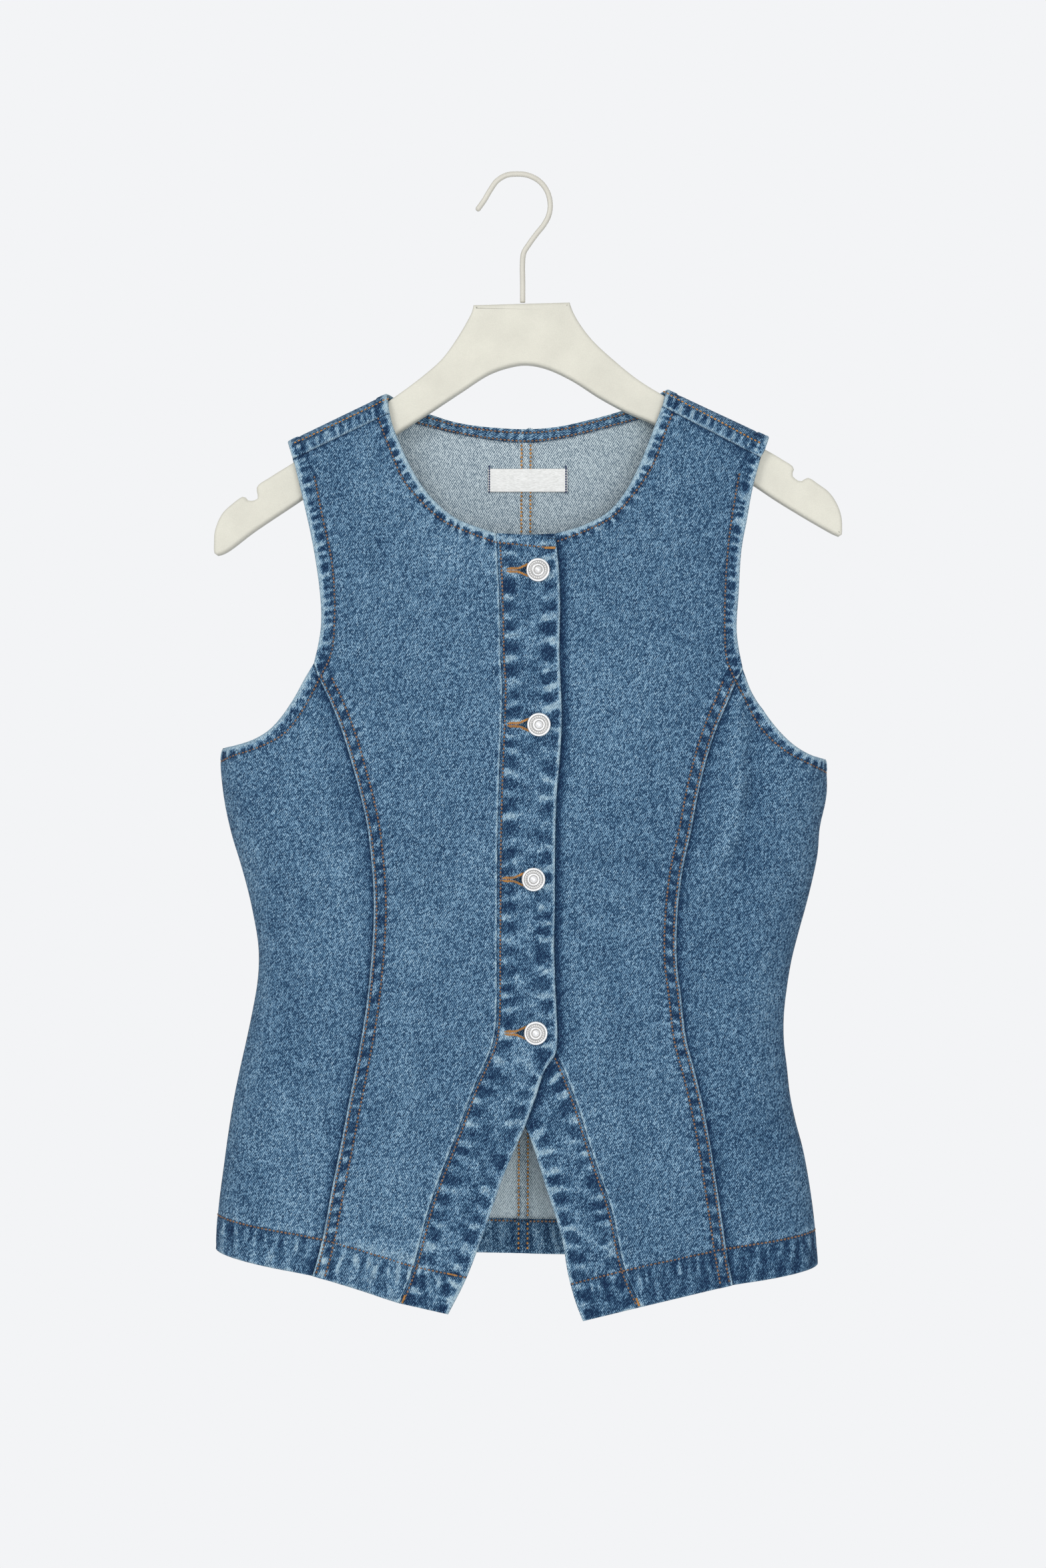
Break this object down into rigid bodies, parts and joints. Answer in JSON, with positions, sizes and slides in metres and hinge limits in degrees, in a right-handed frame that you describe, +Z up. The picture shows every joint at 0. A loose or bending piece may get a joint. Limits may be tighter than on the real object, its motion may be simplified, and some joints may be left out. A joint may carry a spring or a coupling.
{
  "type": "denim vest on a hanger",
  "caption": "Sleeveless buttoned denim vest with a round neck, princess seams and a vented front hem, hanging on a moulded hanger with a wire hook.",
  "frame": {"origin": "inside top of the wire hook, where it bears on a rail or a wall hook", "axes": "+Z up along the hang of the cloth; the buttoned front faces -Y; +X is the viewer's right, the wearer's left"},
  "size_m": [0.419, 0.0533, 0.7622],
  "materials": {
    "denim": "mid-blue stone-washed cotton twill, matte, pale on the inside",
    "nickel": "satin nickel plate",
    "label": "white woven satin ribbon",
    "hanger": "cream moulded fibre, fine matte grain",
    "hook": "cream plastic coat on steel wire"
  },
  "bodies": {
    "root": {"front_right": "denim", "side_right": "denim", "front_left": "denim", "side_left": "denim", "back_right": "denim", "back_left": "denim", "front_band_right": "denim", "front_band_left": "denim", "neck_facing": "denim", "armhole_facing_right": "denim", "armhole_facing_left": "denim", "hem_facing": "denim", "button_1": "nickel", "button_2": "nickel", "button_3": "nickel", "button_4": "nickel", "label": "label", "hanger_body": "hanger", "hanger_hook": "hook"}
  },
  "joints": []
}
